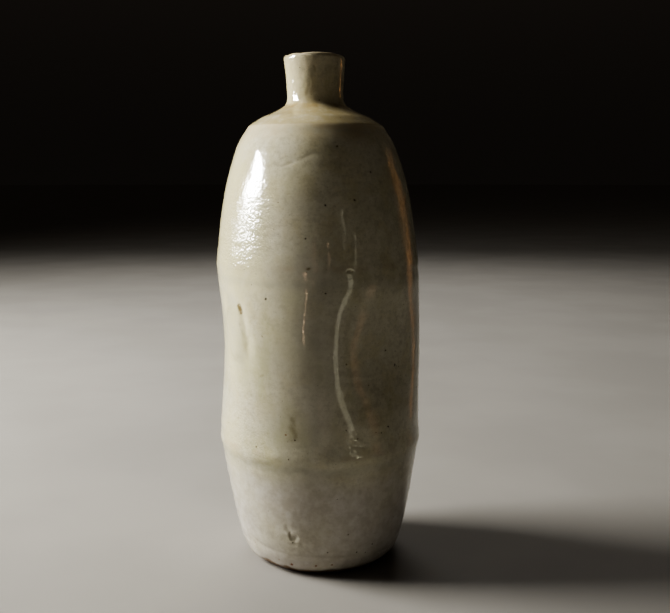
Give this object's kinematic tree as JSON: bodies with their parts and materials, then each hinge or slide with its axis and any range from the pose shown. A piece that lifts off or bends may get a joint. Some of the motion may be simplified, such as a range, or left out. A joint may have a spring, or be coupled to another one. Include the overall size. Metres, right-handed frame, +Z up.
{
  "type": "sake bottle",
  "caption": "Hand-built stoneware sake bottle: barrel body with three pressed hollows, low shoulder and short narrow neck, for holding, warming and pouring sake.",
  "frame": {"origin": "on the surface the bottle stands on, at the middle of its footprint's bounding box", "axes": "+Z up along the bottle towards the mouth; -Y is the side with the crest between two hollows; +X is to the right of it"},
  "size_m": [0.0915, 0.0911, 0.225],
  "materials": {
    "white_glaze": "glossy clear glaze over white slip, faint grey-green mottling, pinholes and iron specks",
    "amber_glaze": "glossy clear glaze over white slip, pooled warm straw yellow at the shoulder and neck",
    "foot_clay": "glaze stopping at a worn edge, bare matt buff stoneware underneath"
  },
  "bodies": {
    "root": {"foot_slab": "foot_clay", "lower_wall": "white_glaze", "hollowed_waist": "white_glaze", "upper_wall": "white_glaze", "shoulder_cap": "amber_glaze", "neck": "amber_glaze"}
  },
  "joints": []
}
